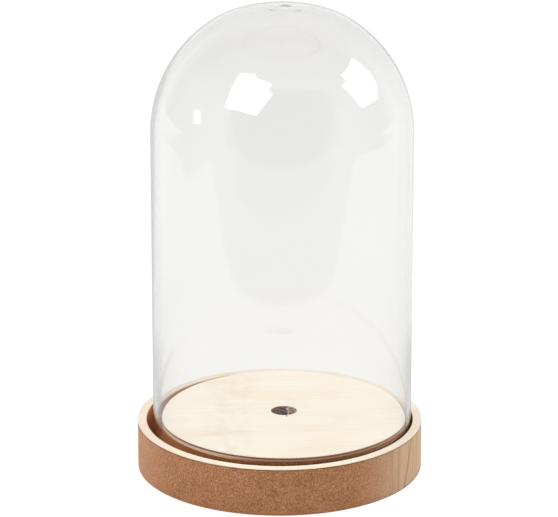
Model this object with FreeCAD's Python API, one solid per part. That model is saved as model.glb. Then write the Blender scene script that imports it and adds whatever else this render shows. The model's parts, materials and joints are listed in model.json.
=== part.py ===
"""Bell jar: a clear domed cover that stands in the groove of a round wooden base.

Millimetres, +Z up. The origin is the centre of the base hoop on the plane that the base stands on.
The base is a thin hoop around a stepped floor board, with a thin display disc glued on the step. The
gap between hoop and step is the groove that takes the rim of the cover. The hoop is cut from board with
a pale veneer on both faces, and the disc is a plywood with a thin top veneer over a brown and a pale
ply. Step, disc and cover sit a little to the +X side of the hoop's centre.
"""

import FreeCAD, Part
import math
import os

# Hoop
HOOP_OUTER_RADIUS = 65.3
HOOP_WALL = 4.0
HOOP_HEIGHT = 22.4
HOOP_VENEER = 0.5
EDGE_EASE = 0.15

# Floor board: the groove's floor, and the step that carries the display disc
GROOVE_FLOOR = 8.4
DISC_RADIUS = 56.0
DISC_SHIFT_X = 1.8

# Display disc, from its top face down
DISC_TOP_ABOVE_HOOP = 2.0
DISC_TOP_VENEER = 0.3
DISC_CORE = 0.8
DISC_BASE_VENEER = 1.4

# Cable hole, from the disc's own centre
CABLE_HOLE_RADIUS = 6.0
CABLE_HOLE_SHIFT_X = 0.2
CABLE_HOLE_SHIFT_Y = 3.6

# Cover: a straight wall, a ball-shaped shoulder, a tighter knuckle and a flatter crown
COVER_RADIUS = 59.35
COVER_WALL = 1.8
COVER_SHIFT_X = 1.1
SHOULDER_HEIGHT = 159.8
KNUCKLE_RADIUS = 36.0
KNUCKLE_START_DEG = 32.0
KNUCKLE_END_DEG = 18.8
RIM_EASE = 0.4

# Moulding mark, from the cover's own axis: a low round boss with a flat sunk middle
MARK_SHIFT_X = 1.6
MARK_SHIFT_Y = 2.0
BOSS_RADIUS = 8.8
BOSS_BALL_RADIUS = 50.0
SUNK_RADIUS = 4.4
SUNK_BELOW_BOSS = 0.3
MARK_ROOT = 1.4

# Worked out from the sizes above
HOOP_INNER_RADIUS = HOOP_OUTER_RADIUS - HOOP_WALL
DISC_TOP = HOOP_HEIGHT + DISC_TOP_ABOVE_HOOP
DISC_CORE_TOP = DISC_TOP - DISC_TOP_VENEER
DISC_CORE_LOW = DISC_CORE_TOP - DISC_CORE
STEP_TOP = DISC_CORE_LOW - DISC_BASE_VENEER
CABLE_HOLE_X = DISC_SHIFT_X + CABLE_HOLE_SHIFT_X
UP = FreeCAD.Vector(0, 0, 1)


def cylinder(radius, low, high, x=0.0, y=0.0):
    """An upright cylinder between two heights."""
    return Part.makeCylinder(radius, high - low, FreeCAD.Vector(x, y, low), UP)


def circles_at(shape, height):
    """The round edges of a shape that lie in the level plane at a height."""
    return [
        edge
        for edge in shape.Edges
        if abs(edge.BoundBox.ZMin - height) < 1e-6 and abs(edge.BoundBox.ZMax - height) < 1e-6
    ]


def hoop_layer(low, high):
    """One layer of the hoop between two heights."""
    return cylinder(HOOP_OUTER_RADIUS, low, high).cut(cylinder(HOOP_INNER_RADIUS, low, high))


def cable_hole(low, high):
    """The space of the cable hole between two heights."""
    return cylinder(CABLE_HOLE_RADIUS, low, high, CABLE_HOLE_X, CABLE_HOLE_SHIFT_Y)


def disc_layer(low, high):
    """One layer of the display disc between two heights, with the cable hole through it."""
    return cylinder(DISC_RADIUS, low, high, DISC_SHIFT_X).cut(cable_hole(low, high))


def hoop_parts():
    """The hoop's brown core between its two pale face veneers."""
    top = hoop_layer(HOOP_HEIGHT - HOOP_VENEER, HOOP_HEIGHT)
    base = hoop_layer(0.0, HOOP_VENEER)
    return {
        "hoop_core": hoop_layer(HOOP_VENEER, HOOP_HEIGHT - HOOP_VENEER),
        "hoop_top_veneer": top.makeFillet(EDGE_EASE, circles_at(top, HOOP_HEIGHT)),
        "hoop_base_veneer": base.makeFillet(EDGE_EASE, circles_at(base, 0.0)),
    }


def disc_parts():
    """The display disc's thin top veneer, its brown core and its pale base veneer."""
    top = disc_layer(DISC_CORE_TOP, DISC_TOP)
    return {
        "disc_top_veneer": top.makeFillet(EDGE_EASE, circles_at(top, DISC_TOP)),
        "disc_core": disc_layer(DISC_CORE_LOW, DISC_CORE_TOP),
        "disc_base_veneer": disc_layer(STEP_TOP, DISC_CORE_LOW),
    }


def floor_board():
    """The board that fills the hoop: its rim carries the cover, and its step carries the disc."""
    board = cylinder(HOOP_INNER_RADIUS, 0.0, GROOVE_FLOOR)
    step = cylinder(DISC_RADIUS, 0.0, STEP_TOP, DISC_SHIFT_X)
    return board.fuse(step).removeSplitter().cut(cable_hole(0.0, STEP_TOP))


def polar_point(centre, radius, angle_deg):
    """A point on an arc in the XZ plane, its angle measured from straight up."""
    angle = math.radians(angle_deg)
    return centre + FreeCAD.Vector(radius * math.sin(angle), 0, radius * math.cos(angle))


def cover_arcs():
    """Centre, radius, first and last angle of the shoulder, the knuckle and the crown arcs.

    Each arc starts in the direction in which the one before it ends, and the crown is level on the axis.
    """
    shoulder = FreeCAD.Vector(0, 0, SHOULDER_HEIGHT)
    knuckle = polar_point(shoulder, COVER_RADIUS - KNUCKLE_RADIUS, KNUCKLE_START_DEG)
    reach = knuckle.x / math.sin(math.radians(KNUCKLE_END_DEG))
    crown = polar_point(knuckle, -reach, KNUCKLE_END_DEG)
    return [
        (shoulder, COVER_RADIUS, 90.0, KNUCKLE_START_DEG),
        (knuckle, KNUCKLE_RADIUS, KNUCKLE_START_DEG, KNUCKLE_END_DEG),
        (crown, KNUCKLE_RADIUS + reach, KNUCKLE_END_DEG, 0.0),
    ]


def cover_outline(inset):
    """The cover's outline as arcs from its shoulder to its crown, moved inwards by an inset."""
    edges = []
    for centre, radius, first, last in cover_arcs():
        ends = [polar_point(centre, radius - inset, angle) for angle in (first, (first + last) / 2, last)]
        edges.append(Part.Arc(*ends).toShape())
    return edges


def crown_arc():
    """The middle and the radius of the crown arc."""
    centre, radius, _, _ = cover_arcs()[-1]
    return centre, radius


def sagitta(ball_radius, reach):
    """How far a ball's surface lies below its top at a distance from its axis."""
    return ball_radius - math.sqrt(ball_radius**2 - reach**2)


def add_crown_mark(shell):
    """The cover with its moulding mark, a low boss with a sunk middle, both square to the crown there."""
    centre, radius = crown_arc()
    rise = math.sqrt(radius**2 - MARK_SHIFT_X**2 - MARK_SHIFT_Y**2)
    outward = FreeCAD.Vector(MARK_SHIFT_X, MARK_SHIFT_Y, rise).normalize()
    top_reach = radius - sagitta(radius, BOSS_RADIUS) + sagitta(BOSS_BALL_RADIUS, BOSS_RADIUS)
    top = FreeCAD.Vector(COVER_SHIFT_X, 0, centre.z) + outward * top_reach
    ball = Part.makeSphere(BOSS_BALL_RADIUS, top - outward * BOSS_BALL_RADIUS)
    stem = Part.makeCylinder(BOSS_RADIUS + 1.0, COVER_WALL, top - outward * MARK_ROOT, outward)
    sunk = Part.makeCylinder(SUNK_RADIUS, COVER_WALL, top - outward * SUNK_BELOW_BOSS, outward)
    return shell.fuse(ball.common(stem)).cut(sunk)


def cover():
    """The clear cover, turned from one outline, with its rim eased and the mark on its crown."""
    centre, radius = crown_arc()
    outer_rim = FreeCAD.Vector(COVER_RADIUS, 0, GROOVE_FLOOR)
    outer_shoulder = FreeCAD.Vector(COVER_RADIUS, 0, SHOULDER_HEIGHT)
    inner_rim = FreeCAD.Vector(COVER_RADIUS - COVER_WALL, 0, GROOVE_FLOOR)
    inner_shoulder = FreeCAD.Vector(COVER_RADIUS - COVER_WALL, 0, SHOULDER_HEIGHT)
    crown = FreeCAD.Vector(0, 0, centre.z + radius)
    inner_crown = FreeCAD.Vector(0, 0, centre.z + radius - COVER_WALL)

    outline = [Part.makeLine(inner_rim, outer_rim), Part.makeLine(outer_rim, outer_shoulder)]
    outline += cover_outline(0.0)
    outline.append(Part.makeLine(crown, inner_crown))
    outline += cover_outline(COVER_WALL)
    outline.append(Part.makeLine(inner_shoulder, inner_rim))
    wire = Part.Wire(Part.__sortEdges__(outline))
    shell = Part.Face(wire).revolve(FreeCAD.Vector(0, 0, 0), UP, 360)
    shell = shell.makeFillet(RIM_EASE, circles_at(shell, GROOVE_FLOOR))
    shell.translate(FreeCAD.Vector(COVER_SHIFT_X, 0, 0))
    return add_crown_mark(shell)


def all_parts():
    """Every node's name and shape."""
    parts = {"clear_dome": cover(), "floor_board": floor_board()}
    parts.update(hoop_parts())
    parts.update(disc_parts())
    return parts


os.makedirs("parts", exist_ok=True)
for name, shape in all_parts().items():
    shape.exportStep(f"parts/{name}.step")
    box = shape.BoundBox
    print(name, len(shape.Solids), "solid", shape.isValid(), round(shape.Volume / 1000, 2), "cm3",
          "z", round(box.ZMin, 2), round(box.ZMax, 2))
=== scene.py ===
"""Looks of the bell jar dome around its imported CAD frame. Metres, +Z up, and the front is -Y."""

import json
import math

import bmesh
import bpy
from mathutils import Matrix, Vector


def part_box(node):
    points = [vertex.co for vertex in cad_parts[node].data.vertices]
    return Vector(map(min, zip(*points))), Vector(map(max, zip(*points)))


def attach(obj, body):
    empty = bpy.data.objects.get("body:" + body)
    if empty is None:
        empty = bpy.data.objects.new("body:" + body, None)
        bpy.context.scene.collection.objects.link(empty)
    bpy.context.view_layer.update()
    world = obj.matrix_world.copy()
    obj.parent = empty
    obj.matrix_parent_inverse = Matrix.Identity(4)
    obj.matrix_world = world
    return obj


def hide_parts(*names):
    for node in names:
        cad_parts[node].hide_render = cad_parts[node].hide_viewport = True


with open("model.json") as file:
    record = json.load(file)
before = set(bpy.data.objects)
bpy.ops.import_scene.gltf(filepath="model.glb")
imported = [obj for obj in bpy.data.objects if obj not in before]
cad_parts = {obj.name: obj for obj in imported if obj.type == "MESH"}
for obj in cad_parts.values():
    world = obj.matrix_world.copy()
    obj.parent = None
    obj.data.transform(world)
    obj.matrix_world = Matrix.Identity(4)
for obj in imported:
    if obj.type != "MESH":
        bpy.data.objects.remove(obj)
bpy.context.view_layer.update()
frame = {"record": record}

MM = 0.001
TURNS = 384  # segments round a turned piece
SAME_POINT = 1e-7  # two points of an outline that are closer than this are one


# ---------------------------------------------------------------- places, from the frame


def centre_and_radius(node):
    """The axis of a round CAD node as (x, y), and its outer radius."""
    low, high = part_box(node)
    return ((low.x + high.x) / 2, (low.y + high.y) / 2), (high.x - low.x) / 2


def heights(node):
    """The lowest and highest point of a CAD node."""
    low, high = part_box(node)
    return low.z, high.z


def mount(name):
    """One of the record's mounts."""
    return next(m for m in frame["record"]["mounts"] if m["name"] == name)


HOOP_CENTRE, HOOP_RADIUS = centre_and_radius("hoop_core")
BOARD_CENTRE, BOARD_RADIUS = centre_and_radius("floor_board")
DISC_CENTRE, DISC_RADIUS = centre_and_radius("disc_core")
DOME_CENTRE, DOME_RADIUS = centre_and_radius("clear_dome")
DOME_FOOT = heights("clear_dome")[0]
HOOP_TOP = heights("hoop_top_veneer")[1]
DISC_TOP = heights("disc_top_veneer")[1]
STEP_TOP = heights("floor_board")[1]
PLY_TOP = heights("disc_base_veneer")[1]
HOLE_CENTRE = mount("cable_hole")["pos_m"][:2]
HOLE_RADIUS = mount("cable_hole")["dims"]["r_mm"] * MM


# ---------------------------------------------------------------- mesh helpers


def smooth_step(value, low, high):
    """0 below low, 1 above high, and a smooth S between."""
    t = min(max((value - low) / (high - low), 0.0), 1.0)
    return t * t * (3 - 2 * t)


def arc_points(centre, radius, first_deg, last_deg, steps):
    """Points on an arc of an outline, as (radius, height), with the angle measured from straight up."""
    points = []
    for i in range(steps + 1):
        angle = math.radians(first_deg + (last_deg - first_deg) * i / steps)
        points.append((centre[0] + radius * math.sin(angle), centre[1] + radius * math.cos(angle)))
    return points


def line_points(start, end, steps):
    """Points on a straight stretch of an outline, both ends included."""
    return [
        (start[0] + (end[0] - start[0]) * i / steps, start[1] + (end[1] - start[1]) * i / steps)
        for i in range(steps + 1)
    ]


def without_repeats(points):
    """An outline without points that lie on the one before. The first point comes after the last."""
    return [point for i, point in enumerate(points) if math.dist(point, points[i - 1]) > SAME_POINT]


def turned(name, outline, centre, closed):
    """A piece turned from an outline of (radius, height) points round a vertical axis.

    A closed outline makes a ring. An open one starts and ends on the axis.
    """
    mesh = bpy.data.meshes.new(name)
    bm = bmesh.new()
    rings = []
    for radius, height in without_repeats(outline):
        if radius == 0.0:
            rings.append([bm.verts.new((centre[0], centre[1], height))])
            continue
        ring = []
        for i in range(TURNS):
            angle = 2 * math.pi * i / TURNS
            x = centre[0] + radius * math.cos(angle)
            y = centre[1] + radius * math.sin(angle)
            ring.append(bm.verts.new((x, y, height)))
        rings.append(ring)
    pairs = list(zip(rings, rings[1:]))
    if closed:
        pairs.append((rings[-1], rings[0]))
    for lower, upper in pairs:
        for i in range(TURNS):
            j = (i + 1) % TURNS
            if len(lower) == 1:
                bm.faces.new((lower[0], upper[j], upper[i]))
            elif len(upper) == 1:
                bm.faces.new((lower[i], lower[j], upper[0]))
            else:
                bm.faces.new((lower[i], lower[j], upper[j], upper[i]))
    bmesh.ops.recalc_face_normals(bm, faces=bm.faces)
    for face in bm.faces:
        face.smooth = True
    bm.to_mesh(mesh)
    bm.free()
    piece = bpy.data.objects.new(name, mesh)
    bpy.context.scene.collection.objects.link(piece)
    return piece


def move_points(piece, change):
    """Moves each point of a piece by the vector that change gives for its place."""
    for vertex in piece.data.vertices:
        vertex.co += change(vertex.co.copy())
    piece.data.update()


def ring_outline(inner, outer, low, high, eases, steps=5):
    """The closed outline of a ring with rounded corners.

    The eases are the radii of its corners: outer low, outer high, inner high and inner low.
    """
    outer_low, outer_high, inner_high, inner_low = eases
    points = arc_points((outer - outer_low, low + outer_low), outer_low, 180, 90, steps)
    points += line_points((outer, low + outer_low), (outer, high - outer_high), 12)
    points += arc_points((outer - outer_high, high - outer_high), outer_high, 90, 0, steps)
    points += line_points((outer - outer_high, high), (inner + inner_high, high), 12)
    points += arc_points((inner + inner_high, high - inner_high), inner_high, 0, -90, steps)
    points += line_points((inner, high - inner_high), (inner, low + inner_low), 12)
    points += arc_points((inner + inner_low, low + inner_low), inner_low, -90, -180, steps)
    points += line_points((inner + inner_low, low), (outer - outer_low, low), 12)
    return points


# ---------------------------------------------------------------- material helpers


def new_material(name):
    """A material with one Principled shader, as (material, tree, shader)."""
    material = bpy.data.materials.new(name)
    material.use_nodes = True
    tree = material.node_tree
    return material, tree, tree.nodes["Principled BSDF"]


def add_node(tree, kind, **settings):
    """A node with its properties set by name."""
    node = tree.nodes.new(kind)
    for key, value in settings.items():
        setattr(node, key, value)
    return node


def fill(node, **values):
    """Sets a node's inputs, by name or as in0, in1...: a socket is linked, anything else is a value."""
    tree = node.id_data
    for key, value in values.items():
        wanted = int(key[2:]) if key.startswith("in") else key.replace("_", " ")
        target = node.inputs[wanted]
        if isinstance(value, bpy.types.NodeSocket):
            tree.links.new(value, target)
        else:
            target.default_value = value
    return node


def place(tree):
    """Where a point lies in the piece's own frame."""
    return add_node(tree, "ShaderNodeTexCoord").outputs["Object"]


def parts(tree, vector):
    """A vector's x, y and z."""
    return fill(add_node(tree, "ShaderNodeSeparateXYZ"), in0=vector).outputs


def length(tree, vector):
    """A vector's length."""
    node = add_node(tree, "ShaderNodeVectorMath", operation="LENGTH")
    return fill(node, in0=vector).outputs["Value"]


def math_node(tree, operation, a, b=0.0, clamp=False):
    """The result of one Math node."""
    node = fill(add_node(tree, "ShaderNodeMath", operation=operation, use_clamp=clamp), in0=a, in1=b)
    return node.outputs[0]


def times(tree, a, b):
    """The product of two numbers."""
    return math_node(tree, "MULTIPLY", a, b)


def inverse(tree, value):
    """1 minus a value."""
    return math_node(tree, "SUBTRACT", 1.0, value)


def grain(tree, where, stretch, detail=2.0, roughness=0.5):
    """Noise whose grains have a size in millimetres along each axis."""
    scale = tuple(1 / (size * MM) for size in stretch)
    mapping = fill(add_node(tree, "ShaderNodeMapping"), Vector=where, Scale=scale)
    texture = add_node(tree, "ShaderNodeTexNoise")
    fill(texture, Vector=mapping.outputs[0], Scale=1.0, Detail=detail, Roughness=roughness)
    return texture.outputs[0]


def share(tree, value, low, high):
    """A smooth 0 to 1 as a value goes from low to high."""
    node = add_node(tree, "ShaderNodeMapRange", interpolation_type="SMOOTHSTEP")
    fill(node, Value=value, From_Min=low, From_Max=high, To_Min=0.0, To_Max=1.0)
    return node.outputs[0]


def edge_share(tree, value, middle, blur):
    """A smooth 0 to 1 as a value passes its middle."""
    return share(tree, value, middle - blur, middle + blur)


def line_mask(tree, value, middle, half_width):
    """1 where a value is near its middle, and 0 from half_width away."""
    off = math_node(tree, "ABSOLUTE", math_node(tree, "SUBTRACT", value, middle))
    return inverse(tree, share(tree, off, half_width * 0.4, half_width))


def blend_colours(tree, factor, first, second):
    """A colour between two colours."""
    node = add_node(tree, "ShaderNodeMix", data_type="RGBA")
    return fill(node, in0=factor, in6=first, in7=second).outputs[2]


def blend_numbers(tree, factor, first, second):
    """A number between two numbers."""
    node = add_node(tree, "ShaderNodeMix", data_type="FLOAT")
    return fill(node, in0=factor, in2=first, in3=second).outputs[0]


def scale_colour(tree, colour, by, factor):
    """A colour multiplied by another, as strongly as the factor says."""
    node = add_node(tree, "ShaderNodeMix", data_type="RGBA", blend_type="MULTIPLY")
    return fill(node, in0=factor, in6=colour, in7=by).outputs[2]


def blend_shaders(tree, factor, first, second):
    """A shader between two shader nodes."""
    node = add_node(tree, "ShaderNodeMixShader")
    return fill(node, in0=factor, in1=first.outputs[0], in2=second.outputs[0])


def from_axis(tree, where, centre):
    """How far a point lies from an upright axis."""
    moved = add_node(tree, "ShaderNodeVectorMath", operation="SUBTRACT")
    fill(moved, in0=where, in1=(centre[0], centre[1], 0.0))
    flat = add_node(tree, "ShaderNodeVectorMath", operation="MULTIPLY")
    fill(flat, in0=moved.outputs[0], in1=(1.0, 1.0, 0.0))
    return length(tree, flat.outputs[0])


def bump(tree, height, distance_mm, strength=1.0):
    """A surface normal for a height from 0 to 1."""
    node = add_node(tree, "ShaderNodeBump")
    fill(node, Height=height, Distance=distance_mm * MM, Strength=strength)
    return node.outputs[0]


def turned_place(tree, angle_deg):
    """The piece's own frame, turned about the vertical axis."""
    rotation = (0, 0, math.radians(angle_deg))
    return fill(add_node(tree, "ShaderNodeMapping"), Vector=place(tree), Rotation=rotation).outputs[0]


def front_angle(tree, where):
    """The angle round the vertical axis, from the front towards +X, in degrees."""
    x, y, _ = parts(tree, where)
    radians = math_node(tree, "ARCTAN2", x, times(tree, y, -1.0))
    return times(tree, radians, 180 / math.pi)


# ---------------------------------------------------------------- the board's brown edge

BROWN_DARK = (0.250, 0.091, 0.033, 1)
BROWN_LIGHT = (0.545, 0.254, 0.110, 1)
BROWN_SPECK = (0.72, 0.47, 0.26, 1)
CLOUD_SHADE = (0.90, 0.86, 0.80, 1)
BACK_DEG = (135.0, 175.0)  # where the back begins, on both sides of the front
PLANED_DEG = (28.0, 66.0)  # where the planed +X side begins
PLANED_BROWN = (0.655, 0.455, 0.292, 1)
PLANED_STRENGTH = 0.72
STREAK_SHADE = (0.80, 0.74, 0.66, 1)
WORN_DEG = (40.0, 80.0)  # where the lighter -X side begins
WORN_BROWN = (0.63, 0.34, 0.18, 1)
WORN_STRENGTH = 0.40
CRACK_DEG = 60.0
CRACK_HALF_WIDTH_DEG = 1.0
CRACK_SLANT = 310.0  # degrees towards +X for each metre up
CRACK_SHADE = (0.72, 0.66, 0.60, 1)
HOOP_OUTSIDE = (HOOP_RADIUS - 0.6 * MM, HOOP_RADIUS - 0.2 * MM)
GLUE_LINE = (HOOP_TOP - 1.15 * MM, HOOP_TOP - 0.65 * MM)  # the core is darker above this
GLUE_SHADE = (0.36, 0.31, 0.29, 1)
GROOVE_SHADE_HEIGHT = (STEP_TOP - 1.4 * MM, STEP_TOP - 0.1 * MM)  # painted shade in the groove below this
# painted light on the groove's -X side, turning to painted shade towards +X and at the back
GROOVE_SHADE_DEG = (-60.0, 30.0)
GROOVE_LIT_LEFT = (1.12, 1.00, 0.86, 1)
GROOVE_SHADE_RIGHT = (0.30, 0.17, 0.10, 1)
DISC_PLY_SHADE = (0.66, 0.44, 0.32, 1)


def behind(tree, angle):
    """1 at the back of the base, and 0 from well before it on both sides."""
    return share(tree, math_node(tree, "ABSOLUTE", angle), *BACK_DEG)


def fleck_colour(tree, where, flecks):
    """Brown flecks with soft clouds and a few light specks."""
    clouds = grain(tree, where, (9, 9, 7), detail=3.0)
    specks = grain(tree, where, (0.45, 0.45, 0.6), detail=1.0)
    colour = blend_colours(tree, share(tree, flecks, 0.34, 0.68), BROWN_DARK, BROWN_LIGHT)
    colour = scale_colour(tree, colour, CLOUD_SHADE, share(tree, clouds, 0.40, 0.68))
    return blend_colours(tree, share(tree, specks, 0.68, 0.80), colour, BROWN_SPECK)


def side_colour(tree, colour, angle, height, right, lines):
    """The lighter -X side, and the planed +X side with its grain lines and its slanting crack."""
    left = share(tree, times(tree, angle, -1.0), *WORN_DEG)
    left = times(tree, left, inverse(tree, behind(tree, angle)))
    colour = blend_colours(tree, times(tree, right, PLANED_STRENGTH), colour, PLANED_BROWN)
    colour = blend_colours(tree, times(tree, left, WORN_STRENGTH), colour, WORN_BROWN)
    streak = times(tree, share(tree, lines, 0.42, 0.66), right)
    colour = scale_colour(tree, colour, STREAK_SHADE, streak)
    upright = math_node(tree, "SUBTRACT", angle, times(tree, height, CRACK_SLANT))
    crack = line_mask(tree, upright, CRACK_DEG, CRACK_HALF_WIDTH_DEG)
    return scale_colour(tree, colour, CRACK_SHADE, crack)


def glued_and_groove_shaded(tree, colour, where, angle, height):
    """The glue line outside, under the hoop's veneer, and painted shade in the groove inside, with painted
    light on its -X side.
    """
    outside = share(tree, from_axis(tree, where, HOOP_CENTRE), *HOOP_OUTSIDE)
    glue = share(tree, height, *GLUE_LINE)
    colour = scale_colour(tree, colour, GLUE_SHADE, times(tree, glue, outside))
    # painted shade in the groove, with painted light on its -X side
    low = inverse(tree, share(tree, height, *GROOVE_SHADE_HEIGHT))
    groove = times(tree, low, inverse(tree, outside))
    away_from_lamp = math_node(tree, "MAXIMUM", share(tree, angle, *GROOVE_SHADE_DEG), behind(tree, angle))
    groove_shading = blend_colours(tree, away_from_lamp, GROOVE_LIT_LEFT, GROOVE_SHADE_RIGHT)
    return scale_colour(tree, colour, groove_shading, groove)


def brown_core_material():
    """The brown edge of the board: fine upright flecks, and planed grain lines on the +X side."""
    material, tree, shader = new_material("brown_core")
    where = place(tree)
    height = parts(tree, where)[2]
    angle = front_angle(tree, where)
    right = times(tree, share(tree, angle, *PLANED_DEG), inverse(tree, behind(tree, angle)))
    flecks = grain(tree, where, (0.50, 0.50, 0.85), detail=3.0, roughness=0.65)
    lines = grain(tree, where, (1.3, 1.3, 70), detail=2.0)
    colour = fleck_colour(tree, where, flecks)
    colour = side_colour(tree, colour, angle, height, right, lines)
    colour = glued_and_groove_shaded(tree, colour, where, angle, height)
    colour = scale_colour(tree, colour, DISC_PLY_SHADE, edge_share(tree, height, PLY_TOP, 0.1 * MM))
    colour = with_drilled_wall(tree, colour, where, flecks)
    relief = bump(tree, math_node(tree, "ADD", flecks, times(tree, lines, right)), 0.06)
    fill(shader, Base_Color=colour, Normal=relief, Roughness=0.55, Specular_IOR_Level=0.35)
    return material


# ---------------------------------------------------------------- the disc's pale ply and the cable hole

# The pale ply's own colour, made lighter as painted light where the lamp on the -X side falls, and painted
# shade elsewhere
PLY_LIT_PALE = (0.97, 0.74, 0.52, 1)
PLY_SHADED = (0.74, 0.32, 0.175, 1)
PLY_DEEP_SHADE = (0.22, 0.085, 0.035, 1)  # painted shade low in the groove, on the shaded side
PLY_FLECK_SHADE = (0.88, 0.83, 0.78, 1)
PLY_SHADE_DEG = (-34.0, -4.0)
PLY_DEEP_SHADE_HEIGHT = (STEP_TOP + 0.2 * MM, PLY_TOP - 0.3 * MM)

HOLE_DARK = ((0.045, 0.014, 0.008, 1), (0.46, 0.22, 0.14, 1))
HOLE_LIGHT = ((0.20, 0.085, 0.050, 1), (0.86, 0.60, 0.42, 1))
HOLE_WALL = (HOLE_RADIUS, HOLE_RADIUS + 1.0 * MM)  # where the drilled colour ends
HOLE_DEPTH = (DISC_TOP - 3.6 * MM, DISC_TOP - 1.2 * MM)  # painted shade, darker below this
HOLE_PAINTED_DEPTH_SHADE = (0.52, 0.46, 0.38, 1)
HOLE_SEAM = HOLE_CENTRE[0] + 2.0 * MM  # the hole's wall is dark on its -X side
SEAM_COLOUR = (0.62, 0.48, 0.38, 1)
CHIP_COLOUR = (0.98, 0.88, 0.80, 1)


def drilled_colour(tree, where, flecks):
    """The wall of the cable hole, dark on its -X side, with painted shade deeper down, a pale torn fibre
    and a chip near its top.
    """
    chips = grain(tree, where, (1.0, 1.0, 0.6), detail=2.0)
    side, _, height = parts(tree, where)
    dark = blend_colours(tree, share(tree, chips, 0.44, 0.60), *HOLE_DARK)
    light = blend_colours(tree, share(tree, flecks, 0.42, 0.56), *HOLE_LIGHT)
    colour = blend_colours(tree, edge_share(tree, side, HOLE_SEAM, 0.4 * MM), dark, light)
    # painted shade deeper in the hole
    deep = inverse(tree, share(tree, height, *HOLE_DEPTH))
    colour = scale_colour(tree, colour, HOLE_PAINTED_DEPTH_SHADE, deep)
    colour = blend_colours(tree, line_mask(tree, side, HOLE_SEAM, 0.6 * MM), colour, SEAM_COLOUR)
    chip_across = line_mask(tree, side, HOLE_SEAM - 0.5 * MM, 0.8 * MM)
    chip_up = line_mask(tree, height, DISC_TOP - 1.5 * MM, 0.6 * MM)
    return blend_colours(tree, times(tree, chip_across, chip_up), colour, CHIP_COLOUR)


def with_drilled_wall(tree, colour, where, flecks):
    """A colour that gives way to the drilled one at the cable hole."""
    drilled = inverse(tree, share(tree, from_axis(tree, where, HOLE_CENTRE), *HOLE_WALL))
    return blend_colours(tree, drilled, colour, drilled_colour(tree, where, flecks))


def pale_ply_material():
    """The cut edge of the disc's pale ply: painted light on its -X side, painted shade towards the front,
    the +X side and the back, darkest low in the groove.
    """
    material, tree, shader = new_material("pale_ply")
    where = place(tree)
    height = parts(tree, where)[2]
    flecks = grain(tree, where, (0.8, 0.8, 0.5), detail=2.0)
    angle = front_angle(tree, where)
    # painted shade away from the lamp on the -X side, and at the back
    shaded_side = math_node(tree, "MAXIMUM", share(tree, angle, *PLY_SHADE_DEG), behind(tree, angle))
    low = inverse(tree, share(tree, height, *PLY_DEEP_SHADE_HEIGHT))
    colour = blend_colours(tree, shaded_side, PLY_LIT_PALE, PLY_SHADED)
    colour = blend_colours(tree, times(tree, low, shaded_side), colour, PLY_DEEP_SHADE)
    colour = scale_colour(tree, colour, PLY_FLECK_SHADE, share(tree, flecks, 0.45, 0.65))
    colour = with_drilled_wall(tree, colour, where, flecks)
    fill(shader, Base_Color=colour, Normal=bump(tree, flecks, 0.03), Roughness=0.55, Specular_IOR_Level=0.3)
    return material


# ---------------------------------------------------------------- the pale veneer

VENEER_LIGHT = (0.880, 0.795, 0.655)
VENEER_DARK = (0.842, 0.750, 0.600)
VENEER_CLOUD_SHADE = (0.97, 0.94, 0.89, 1)
HAIR_SHADE = (0.93, 0.90, 0.85, 1)
# where the hoop veneer's painted shade and painted light begin
SIDES_START = (0.030, 0.062)  # along X, on both sides
BACK_START = (0.005, 0.030)  # along Y
BACK_LEFT_END = (-0.035, 0.0)  # along X
STAIN_MIDDLE = -0.0225
STAIN_HALF_WIDTH = 0.014
STAIN_SHADE = (0.955, 0.937, 0.908, 1)
HOOP_RIM = (HOOP_RADIUS - 0.3 * MM, HOOP_RADIUS - 0.1 * MM)
# darker brown along the bottom of the hoop's rim
LOW_RIM_HEIGHT = 1.5 * MM
LOW_RIM_DARKENING = (0.42, 0.26, 0.17, 1)
SPLIT_PLACE = (HOLE_CENTRE[0] + 1.1 * MM, HOLE_CENTRE[1] - 6.2 * MM)
SPLIT_HALF_SIZE = (0.5 * MM, 3.2 * MM)
SPLIT_SHADE = (0.45, 0.38, 0.36, 1)

HOOP_GRAIN_DEG = 62
HOOP_TINT = (0.975, 0.940, 0.918)
# painted shade on the -X and +X sides, and painted light on the back towards +X
HOOP_PAINTED_SHADING = ((0.91, 0.91, 0.94), (0.85, 0.87, 0.92), (1.04, 1.09, 1.20))
DISC_GRAIN_DEG = 3
DISC_TINT = (0.970, 0.990, 1.030)


def tinted(colour, tint):
    """A colour times a tint, with an alpha of 1."""
    return tuple(a * b for a, b in zip(colour, tint)) + (1.0,)


def painted_shading_areas(tree, x, y):
    """Where shading is painted: shade on the -X side and on the +X side without its back, and light on the
    back towards +X.
    """
    left = share(tree, times(tree, x, -1.0), *SIDES_START)
    back = times(tree, share(tree, y, *BACK_START), share(tree, x, *BACK_LEFT_END))
    right = times(tree, share(tree, x, *SIDES_START), inverse(tree, back))
    return left, right, back


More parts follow.
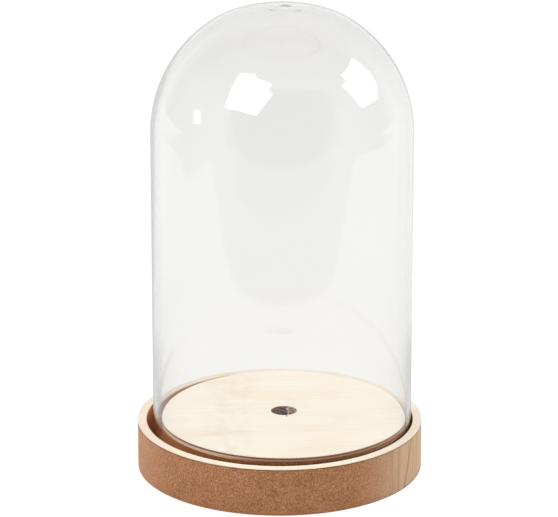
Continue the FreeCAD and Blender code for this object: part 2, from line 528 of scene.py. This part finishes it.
def pale_veneer_material(name, grain_deg, tint, painted_shading, stain):
    """Pale sanded face veneer: fine streaks along one direction, and a soft stain.

    The painted shading, if any, is painted shade on its -X side and its +X side and painted light on its
    back towards +X.
    The stain, and the split at the cable hole, are as strong as its number says.
    """
    material, tree, shader = new_material(name)
    along = turned_place(tree, -grain_deg)
    streaks = grain(tree, along, (38, 1.1, 38), detail=4.0, roughness=0.62)
    hairs = grain(tree, along, (7, 0.35, 7), detail=2.0)
    clouds = grain(tree, along, (30, 16, 30), detail=2.0)
    light, dark = tinted(VENEER_LIGHT, tint), tinted(VENEER_DARK, tint)
    colour = blend_colours(tree, share(tree, streaks, 0.36, 0.70), light, dark)
    colour = scale_colour(tree, colour, VENEER_CLOUD_SHADE, share(tree, clouds, 0.45, 0.75))
    colour = scale_colour(tree, colour, HAIR_SHADE, share(tree, hairs, 0.60, 0.78))

    where = place(tree)
    x, y, z = parts(tree, where)
    # painted shade on the sides and painted light at the back
    for area, shade in zip(painted_shading_areas(tree, x, y), painted_shading):
        colour = scale_colour(tree, colour, shade + (1,), area)
    patches = share(tree, grain(tree, where, (5, 10, 5), detail=3.0), 0.40, 0.60)
    band = times(tree, line_mask(tree, x, STAIN_MIDDLE, STAIN_HALF_WIDTH), patches)
    colour = scale_colour(tree, colour, STAIN_SHADE, times(tree, band, stain))
    # darker brown along the bottom of the rim
    rim = share(tree, from_axis(tree, where, HOOP_CENTRE), *HOOP_RIM)
    low_rim = times(tree, rim, line_mask(tree, z, 0.0, LOW_RIM_HEIGHT))
    colour = scale_colour(tree, colour, LOW_RIM_DARKENING, low_rim)
    split_across = line_mask(tree, x, SPLIT_PLACE[0], SPLIT_HALF_SIZE[0])
    split_along = line_mask(tree, y, SPLIT_PLACE[1], SPLIT_HALF_SIZE[1])
    split = times(tree, times(tree, split_across, split_along), stain)
    colour = scale_colour(tree, colour, SPLIT_SHADE, split)
    fill(shader, Base_Color=colour, Roughness=0.6, Specular_IOR_Level=0.3, Normal=bump(tree, hairs, 0.02))
    return material


# ---------------------------------------------------------------- the cover's plastic


def clear_plastic_material():
    """Clear moulded plastic."""
    material, _, shader = new_material("clear_plastic")
    fill(shader, Base_Color=(0.962, 0.960, 0.952, 1), Roughness=0.0, IOR=1.5, Transmission_Weight=1.0)
    return material


# ---------------------------------------------------------------- pieces

# The cover's outline, as in the CAD model: shoulder, knuckle and crown arcs, each tangent to the next
WALL = 1.8 * MM
SHOULDER_HEIGHT = 159.8 * MM
KNUCKLE_RADIUS = 36 * MM
KNUCKLE_DEG = (32.0, 18.8)
RIM_EASE = 0.4 * MM

# The moulding mark on its crown
MARK_SHIFT = Vector((1.6 * MM, 2.0 * MM))
BOSS_REACH = (5.8 * MM, 9.4 * MM)
BOSS_RISE = 0.13 * MM
DIMPLE_REACH = (1.6 * MM, 5.0 * MM)
DIMPLE_DEPTH = 0.17 * MM

BOARD_EASE = 0.1 * MM
BOARD_GAP = 0.02 * MM  # between the board and the hoop
HOLE_SURROUND = 1.5 * MM  # a plate turned round the cable hole isn't shifted nearer than this
RIM_SURROUND = 0.5 * MM  # and its rims are shifted whole


def finish_piece(piece, body, node, material):
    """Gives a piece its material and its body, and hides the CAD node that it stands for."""
    piece.data.materials.append(material)
    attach(piece, body)
    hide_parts(node)
    return piece


def make_hoop(core_material, veneer_material):
    """The hoop's brown core between its two pale veneers, each with the eases of its corners in mm."""
    for name, node, eases, material, slot in (
        ("hoop_core_ring", "hoop_core", (0.08, 0.10, 0.10, 0.05), core_material, "brown_core"),
        ("hoop_top_ring", "hoop_top_veneer", (0.04, 0.22, 0.22, 0.04), veneer_material, "pale_veneer"),
        ("hoop_base_ring", "hoop_base_veneer", (0.22, 0.04, 0.04, 0.10), veneer_material, "pale_veneer"),
    ):
        low, high = heights(node)
        outline = ring_outline(BOARD_RADIUS, HOOP_RADIUS, low, high, [e * MM for e in eases])
        finish_piece(turned(name, outline, HOOP_CENTRE, True), "base", node, material)


def turned_round_hole(name, outline, rims):
    """A piece turned round the cable hole, whose outer rims have centres of their own.

    Each rim is (radius, centre), from the inside out. Points between two rims move part of the way.
    """
    piece = turned(name, outline, HOLE_CENTRE, True)
    hole = Vector(HOLE_CENTRE)

    def outwards(point):
        radius = math.hypot(point.x - hole.x, point.y - hole.y)
        shift = Vector((0, 0))
        start = HOLE_RADIUS + HOLE_SURROUND
        for rim, centre in rims:
            moved = smooth_step(radius, start, rim - RIM_SURROUND)
            shift = shift.lerp(Vector(centre) - hole, moved)
            start = rim + RIM_SURROUND
        return shift.to_3d()

    move_points(piece, outwards)
    return piece


def make_disc(core_material, ply_material, veneer_material):
    """The display disc: a thin top veneer, a brown ply and a pale ply, with their eases in mm."""
    for name, node, eases, material, slot in (
        ("disc_core_plate", "disc_core", (0.05, 0.05, 0.05, 0.05), core_material, "brown_core"),
        ("disc_top_plate", "disc_top_veneer", (0.04, 0.12, 0.10, 0.04), veneer_material, "pale_veneer"),
        ("disc_base_plate", "disc_base_veneer", (0.05, 0.08, 0.05, 0.05), ply_material, "pale_veneer"),
    ):
        low, high = heights(node)
        outline = ring_outline(HOLE_RADIUS, DISC_RADIUS, low, high, [e * MM for e in eases])
        piece = turned_round_hole(name, outline, [(DISC_RADIUS, DISC_CENTRE)])
        finish_piece(piece, "base", node, material)


def make_board(core_material):
    """The floor board: the groove's floor, and the step that carries the disc, with the cable hole."""
    low, high = heights("floor_board")
    edge = BOARD_RADIUS - BOARD_GAP
    corner = (DISC_RADIUS - BOARD_EASE, high - BOARD_EASE)
    outline = line_points((HOLE_RADIUS, low), (HOLE_RADIUS, high), 12)
    outline += line_points((HOLE_RADIUS, high), (corner[0], high), 12)
    outline += arc_points(corner, BOARD_EASE, 0, 90, 4)
    outline += line_points((DISC_RADIUS, corner[1]), (DISC_RADIUS, DOME_FOOT), 12)
    outline += line_points((DISC_RADIUS, DOME_FOOT), (edge, DOME_FOOT), 8)
    outline += line_points((edge, DOME_FOOT), (edge, low), 4)
    outline += line_points((edge, low), (HOLE_RADIUS, low), 24)
    rims = [(DISC_RADIUS, DISC_CENTRE), (edge, BOARD_CENTRE)]
    piece = turned_round_hole("floor_plate", outline, rims)
    finish_piece(piece, "base", "floor_board", core_material)


def cover_arcs():
    """Centre, radius, first and last angle and steps of the cover's outer arcs."""
    shoulder = (0.0, SHOULDER_HEIGHT)
    knuckle = arc_points(shoulder, DOME_RADIUS - KNUCKLE_RADIUS, KNUCKLE_DEG[0], KNUCKLE_DEG[0], 1)[0]
    reach = knuckle[0] / math.sin(math.radians(KNUCKLE_DEG[1]))
    crown = arc_points(knuckle, -reach, KNUCKLE_DEG[1], KNUCKLE_DEG[1], 1)[0]
    return (
        (shoulder, DOME_RADIUS, 90.0, KNUCKLE_DEG[0], 44),
        (knuckle, KNUCKLE_RADIUS, KNUCKLE_DEG[0], KNUCKLE_DEG[1], 10),
        (crown, KNUCKLE_RADIUS + reach, KNUCKLE_DEG[1], 0.0, 60),
    )


def cover_outline():
    """The cover's outline from its inner crown round the rim to its outer crown."""
    outer, inner = [], []
    for centre, radius, first, last, steps in cover_arcs():
        outer += arc_points(centre, radius, first, last, steps)
        inner += arc_points(centre, radius - WALL, first, last, steps)
    inner_radius = DOME_RADIUS - WALL
    foot = DOME_FOOT + RIM_EASE
    rim = arc_points((inner_radius + RIM_EASE, foot), RIM_EASE, 270, 180, 4)
    rim += arc_points((DOME_RADIUS - RIM_EASE, foot), RIM_EASE, 180, 90, 4)
    outer_wall = line_points((DOME_RADIUS, foot), (DOME_RADIUS, SHOULDER_HEIGHT), 10)
    inner_wall = line_points((inner_radius, SHOULDER_HEIGHT), (inner_radius, foot), 10)
    outer[-1] = (0.0, outer[-1][1])
    inner[-1] = (0.0, inner[-1][1])
    return inner[::-1] + inner_wall + rim + outer_wall + outer


def make_cover(material):
    """The clear cover, with the moulding mark on its crown: a low boss with a dimple in its middle."""
    outline = cover_outline()
    crown_height = outline[-1][1]
    piece = turned("clear_cover", outline, DOME_CENTRE, False)
    mark = Vector(DOME_CENTRE) + MARK_SHIFT

    def mould(point):
        reach = math.hypot(point.x - mark.x, point.y - mark.y)
        boss = 1 - smooth_step(reach, *BOSS_REACH)
        dimple = 1 - smooth_step(reach, *DIMPLE_REACH)
        outside = point.z > crown_height - WALL * 0.75
        return Vector((0, 0, (BOSS_RISE * boss - DIMPLE_DEPTH * dimple) * outside))

    move_points(piece, mould)
    finish_piece(piece, "cover", "clear_dome", material)
    piece.visible_shadow = False
    piece.visible_diffuse = False
    return piece


# ---------------------------------------------------------------- camera and lights

WHITE = (1, 1, 1, 1)

CAMERA_LENS = 258.0
CAMERA_SENSOR = 36.0
CAMERA_PITCH_DEG = 18.74
CAMERA_DISTANCE = 1.8184
CAMERA_AIM = Vector((-0.0003, 0, 0.0994))

# The lights stand this far from a point above the cover's shoulder. Each is (name, azimuth, elevation,
# strength, outline). Outlines are in (right, up) shares of that distance, with the clips and rods that
# stick out at their edges.
LIGHT_DISTANCE = 1.1
LIGHTS_MIDDLE = Vector((DOME_CENTRE[0], DOME_CENTRE[1], SHOULDER_HEIGHT + 0.03))
LIGHTS = (
    ("softbox_left", -41.0, 43.2, 5.0, (
        (0.279, 0.255), (0.060, 0.312), (-0.004, 0.259), (-0.266, 0.281), (-0.258, 0.160),
        (-0.347, 0.150), (-0.355, 0.092), (-0.269, -0.269), (0.281, -0.282),
    )),
    ("softbox_right", 95.8, 29.7, 5.0, (
        (-0.279, 0.203), (-0.296, 0.053), (-0.285, -0.073), (-0.248, -0.205), (-0.155, -0.200),
        (-0.150, -0.262), (-0.097, -0.268), (0.262, -0.194), (0.311, 0.208), (0.165, 0.176),
        (0.138, 0.275), (-0.060, 0.222),
    )),
    ("small_light", -82.4, 10.6, 2.4, (
        (0.098, 0.030), (0.080, 0.056), (0.010, 0.085), (-0.038, 0.078), (-0.080, 0.000),
        (-0.107, -0.049), (-0.060, -0.065), (0.022, -0.093), (0.050, -0.060),
    )),
)


def grey(value):
    """A grey colour."""
    return (value, value, value, 1)


def emission_material(name, strength):
    """A plain white surface that gives light."""
    material = bpy.data.materials.new(name)
    material.use_nodes = True
    tree = material.node_tree
    tree.nodes.clear()
    light = fill(add_node(tree, "ShaderNodeEmission"), Color=WHITE, Strength=strength)
    out = add_node(tree, "ShaderNodeOutputMaterial")
    tree.links.new(light.outputs[0], out.inputs[0])
    return material


def sky_direction(azimuth_deg, elevation_deg):
    """A direction, with the azimuth measured from the front towards +X."""
    azimuth, elevation = math.radians(azimuth_deg), math.radians(elevation_deg)
    return Vector((
        math.sin(azimuth) * math.cos(elevation),
        -math.cos(azimuth) * math.cos(elevation),
        math.sin(elevation),
    ))


def flat_sheet(name, corners, material):
    """A flat stage sheet from its corners, in order."""
    mesh = bpy.data.meshes.new(name)
    mesh.from_pydata([tuple(c) for c in corners], [], [list(range(len(corners)))])
    mesh.materials.append(material)
    sheet = bpy.data.objects.new(name, mesh)
    bpy.context.scene.collection.objects.link(sheet)
    return sheet


def make_lights():
    """The flat lights, which the camera doesn't see."""
    for name, azimuth_deg, elevation_deg, strength, outline in LIGHTS:
        towards = sky_direction(azimuth_deg, elevation_deg)
        middle = LIGHTS_MIDDLE + towards * LIGHT_DISTANCE
        right = towards.cross(Vector((0, 0, 1))).normalized()
        up = right.cross(towards)
        corners = [middle + (right * a + up * b) * LIGHT_DISTANCE for a, b in outline]
        sheet = flat_sheet(name, corners, emission_material(name, strength))
        sheet.visible_camera = False


def make_camera():
    """A long lens in front of the jar, looking a little down."""
    data = bpy.data.cameras.new("camera")
    data.lens = CAMERA_LENS
    data.sensor_width = CAMERA_SENSOR
    camera = bpy.data.objects.new("camera", data)
    camera.location = CAMERA_AIM + sky_direction(0, CAMERA_PITCH_DEG) * CAMERA_DISTANCE
    camera.rotation_euler = (math.radians(90 - CAMERA_PITCH_DEG), 0, 0)
    bpy.context.scene.collection.objects.link(camera)
    bpy.context.scene.camera = camera


# ---------------------------------------------------------------- the room that the cover mirrors

WORLD_STRENGTH = 0.93
WORLD_DIM = 0.16  # low in front, where the room is dark
DIM_FRONT = (0.25, 0.45)
DIM_BELOW = (0.45, 0.62)

ROOM = 0.14
BACK_WALL = 0.98
BACK_WALL_START = (0.15, 0.75)
BACK_WALL_LEFT = 0.10  # how much sooner the light behind the jar ends on the -X side
BACK_WALL_RIGHT = 0.18  # and how much later on the +X side
BACK_WALL_DIMMING = 0.42  # upwards
LEFT_WALL = 0.50
RIGHT_WALL = 0.42
WALLS_BLUR = 0.3
CEILING = 0.26
CEILING_START = (0.40, 0.72)
OVAL_MIDDLE = 0.17  # of the dark oval of room in front of the jar, as a height on the unit sphere
OVAL_REACH = (0.79, 0.585)
OVAL_BLUR = 0.025


def room_brightness(tree, direction):
    """The room above the floor: light behind the jar and beside it, and a dark oval in front."""
    side, depth, height = parts(tree, direction)
    rightward = times(tree, math_node(tree, "MAXIMUM", side, 0.0), BACK_WALL_RIGHT)
    leftward = times(tree, math_node(tree, "MINIMUM", side, 0.0), BACK_WALL_LEFT)
    backward = math_node(tree, "ADD", depth, math_node(tree, "ADD", rightward, leftward))
    back_wall = times(tree, share(tree, backward, *BACK_WALL_START), BACK_WALL - ROOM)
    dimming = times(tree, math_node(tree, "MAXIMUM", height, 0.0), BACK_WALL_DIMMING)
    back_wall = times(tree, back_wall, inverse(tree, dimming))

    across = math_node(tree, "DIVIDE", side, OVAL_REACH[0])
    up = math_node(tree, "DIVIDE", math_node(tree, "SUBTRACT", height, OVAL_MIDDLE), OVAL_REACH[1])
    oval = fill(add_node(tree, "ShaderNodeCombineXYZ"), X=across, Y=up)
    outside = edge_share(tree, length(tree, oval.outputs[0]), 1.0, OVAL_BLUR)
    walls = blend_numbers(tree, edge_share(tree, side, 0.0, WALLS_BLUR), LEFT_WALL, RIGHT_WALL)
    around = blend_numbers(tree, share(tree, height, *CEILING_START), walls, CEILING)
    beside = times(tree, outside, math_node(tree, "SUBTRACT", around, ROOM))
    return math_node(tree, "ADD", math_node(tree, "MAXIMUM", back_wall, beside), ROOM)


def background(tree, colour, strength):
    """One Background shader of the world."""
    return fill(add_node(tree, "ShaderNodeBackground"), Color=colour, Strength=strength)


def make_world():
    """White where the camera looks, the room for mirrors, and else a light that is dim low in front."""
    world = bpy.data.worlds.new("studio")
    bpy.context.scene.world = world
    world.use_nodes = True
    tree = world.node_tree
    tree.nodes.clear()
    direction = add_node(tree, "ShaderNodeTexCoord").outputs["Generated"]
    _, depth, height = parts(tree, direction)
    front = share(tree, times(tree, depth, -1.0), *DIM_FRONT)
    low = inverse(tree, share(tree, height, *DIM_BELOW))
    dimmed = blend_colours(tree, times(tree, front, low), WHITE, grey(WORLD_DIM))
    light = background(tree, dimmed, WORLD_STRENGTH)
    mirrored = background(tree, WHITE, room_brightness(tree, direction))
    plain = background(tree, WHITE, 1.0)

    path = add_node(tree, "ShaderNodeLightPath").outputs
    bounced = math_node(tree, "ADD", path["Glossy Depth"], path["Diffuse Depth"], clamp=True)
    through = math_node(tree, "SUBTRACT", path["Is Transmission Ray"], bounced, clamp=True)
    seen = math_node(tree, "MAXIMUM", path["Is Camera Ray"], through)
    glossy = math_node(tree, "MINIMUM", path["Glossy Depth"], 1.0)
    unseen = blend_shaders(tree, glossy, light, mirrored)
    shown = blend_shaders(tree, seen, unseen, plain)
    out = add_node(tree, "ShaderNodeOutputWorld")
    tree.links.new(shown.outputs[0], out.inputs[0])


# ---------------------------------------------------------------- the floor, and the table in mirrors

FLOOR_REACH = 4.0
FLOOR_WHITE = 0.93
FLOOR_SELF_LIT = 0.65
FLOOR_DIRECT = 1.12
FLOOR_THROUGH = 0.97

TABLE = 0.89
TABLE_NEAR = 0.76  # shaded by the jar
TABLE_NEAR_END = (0.17, 0.24)  # from the middle of the jar
TABLE_BACK = 1.0
TABLE_BACK_START = (0.1, 0.3)
TABLE_FRONT = 0.334  # in front of the middle of the jar
TABLE_BOW = 1.1  # how much nearer the edge gets with the square of the distance to the side
TABLE_BOW_LIMIT = 0.056
TABLE_BLUR = 0.009
TABLE_LEFT = 0.53
TABLE_RIGHT = 0.85
TABLE_FLARE = 0.5  # how much wider the table gets towards its back
TABLE_SIDE_BLUR = 0.02

CARPET = 0.28  # off the table, in front
CARPET_END = (0.5, 0.95)  # in radians from the front, on both sides
FAR_WALLS_BLUR = 0.4
FAR_BACK_START = (0.0, 0.6)

ROOM_FRONT = 0.470  # where the dark room begins in front of the jar
ROOM_MIDDLE = 0.05
ROOM_BULGE = 0.45  # how much nearer it begins with the square of the distance to its middle
ROOM_BLUR = 0.012
ROOM_AZIMUTH = (math.radians(37.5), math.radians(41.0))

BACK_SHADE = 0.77  # straight behind the jar, for the outline of the cover
BACK_SHADE_LEFT = (math.radians(-41.0), math.radians(-30.0))
BACK_SHADE_RIGHT = (math.radians(14.0), math.radians(22.0))
BACK_SHADE_START = (0.05, 0.12)


def off_table(tree, side, depth, forward):
    """1 beyond the table's bowed front edge and beyond its flaring sides."""
    bow = times(tree, times(tree, side, side), TABLE_BOW)
    bow = math_node(tree, "MINIMUM", bow, TABLE_BOW_LIMIT)
    beyond = edge_share(tree, math_node(tree, "ADD", forward, bow), TABLE_FRONT, TABLE_BLUR)
    flare = times(tree, math_node(tree, "MAXIMUM", depth, 0.0), TABLE_FLARE)
    for outward, end in ((times(tree, side, -1.0), TABLE_LEFT), (side, TABLE_RIGHT)):
        outward = math_node(tree, "SUBTRACT", outward, flare)
        beyond = math_node(tree, "MAXIMUM", beyond, edge_share(tree, outward, end, TABLE_SIDE_BLUR))
    return beyond


def in_dark_room(tree, side, forward, azimuth):
    """1 in the dark room ahead of the table, up to an angle on both sides."""
    off_middle = math_node(tree, "SUBTRACT", side, ROOM_MIDDLE)
    bulge = times(tree, times(tree, off_middle, off_middle), ROOM_BULGE)
    far = edge_share(tree, math_node(tree, "ADD", forward, bulge), ROOM_FRONT, ROOM_BLUR)
    return times(tree, far, inverse(tree, share(tree, azimuth, *ROOM_AZIMUTH)))


def in_back_shade(tree, side, depth):
    """1 in the shade straight behind the jar."""
    azimuth = math_node(tree, "ARCTAN2", side, depth)
    shade = inverse(tree, share(tree, azimuth, *BACK_SHADE_RIGHT))
    shade = times(tree, shade, share(tree, azimuth, *BACK_SHADE_LEFT))
    return times(tree, shade, share(tree, depth, *BACK_SHADE_START))


def table_brightness(tree):
    """What mirrors see below the jar: the table, and walls, carpet and dark room beyond it."""
    where = place(tree)
    side, depth, _ = parts(tree, where)
    forward = times(tree, depth, -1.0)
    azimuth = math_node(tree, "ABSOLUTE", math_node(tree, "ARCTAN2", side, forward))
    far_enough = share(tree, from_axis(tree, where, DOME_CENTRE), *TABLE_NEAR_END)
    table = blend_numbers(tree, far_enough, TABLE_NEAR, TABLE)
    table = blend_numbers(tree, share(tree, depth, *TABLE_BACK_START), table, TABLE_BACK)
    walls = blend_numbers(tree, edge_share(tree, side, 0.0, FAR_WALLS_BLUR), LEFT_WALL, RIGHT_WALL)
    walls = blend_numbers(tree, share(tree, azimuth, *CARPET_END), CARPET, walls)
    walls = blend_numbers(tree, share(tree, depth, *FAR_BACK_START), walls, TABLE_BACK)
    brightness = blend_numbers(tree, off_table(tree, side, depth, forward), table, walls)
    brightness = blend_numbers(tree, in_dark_room(tree, side, forward, azimuth), brightness, ROOM)
    return blend_numbers(tree, in_back_shade(tree, side, depth), brightness, BACK_SHADE)


def make_floor():
    """A white floor, partly self-lit where it is seen straight on or through the cover.

    Mirrors see it as a table that ends in front of the jar, with a dark room beyond.
    """
    material, tree, shader = new_material("floor")
    path = add_node(tree, "ShaderNodeLightPath").outputs
    fill(shader, Base_Color=grey(FLOOR_WHITE), Roughness=0.9, Specular_IOR_Level=0.1)
    own_light = blend_colours(tree, path["Is Camera Ray"], grey(FLOOR_THROUGH), grey(FLOOR_DIRECT))
    own_light = fill(add_node(tree, "ShaderNodeEmission"), Color=own_light, Strength=1.0)
    diffuse = math_node(tree, "MINIMUM", path["Diffuse Depth"], 1.0)
    self_lit = times(tree, inverse(tree, diffuse), FLOOR_SELF_LIT)
    lit = blend_shaders(tree, self_lit, shader, own_light)
    mirrored = add_node(tree, "ShaderNodeEmission")
    fill(mirrored, Color=WHITE, Strength=table_brightness(tree))
    glossy = math_node(tree, "MINIMUM", path["Glossy Depth"], 1.0)
    shown = blend_shaders(tree, glossy, lit, mirrored)
    tree.links.new(shown.outputs[0], tree.nodes["Material Output"].inputs[0])
    corners = [(x * FLOOR_REACH, y * FLOOR_REACH, 0) for x, y in ((-1, -1), (1, -1), (1, 1), (-1, 1))]
    flat_sheet("floor", corners, material)


# ---------------------------------------------------------------- the scene

make_camera()
make_world()
make_floor()
make_lights()

core = brown_core_material()
hoop_veneer = pale_veneer_material("hoop_veneer", HOOP_GRAIN_DEG, HOOP_TINT, HOOP_PAINTED_SHADING, 0.0)
disc_veneer = pale_veneer_material("disc_veneer", DISC_GRAIN_DEG, DISC_TINT, (), 1.0)
make_hoop(core, hoop_veneer)
make_disc(core, pale_ply_material(), disc_veneer)
make_board(core)
make_cover(clear_plastic_material())

settings = bpy.context.scene.view_settings
settings.view_transform = "Standard"
settings.look = "None"
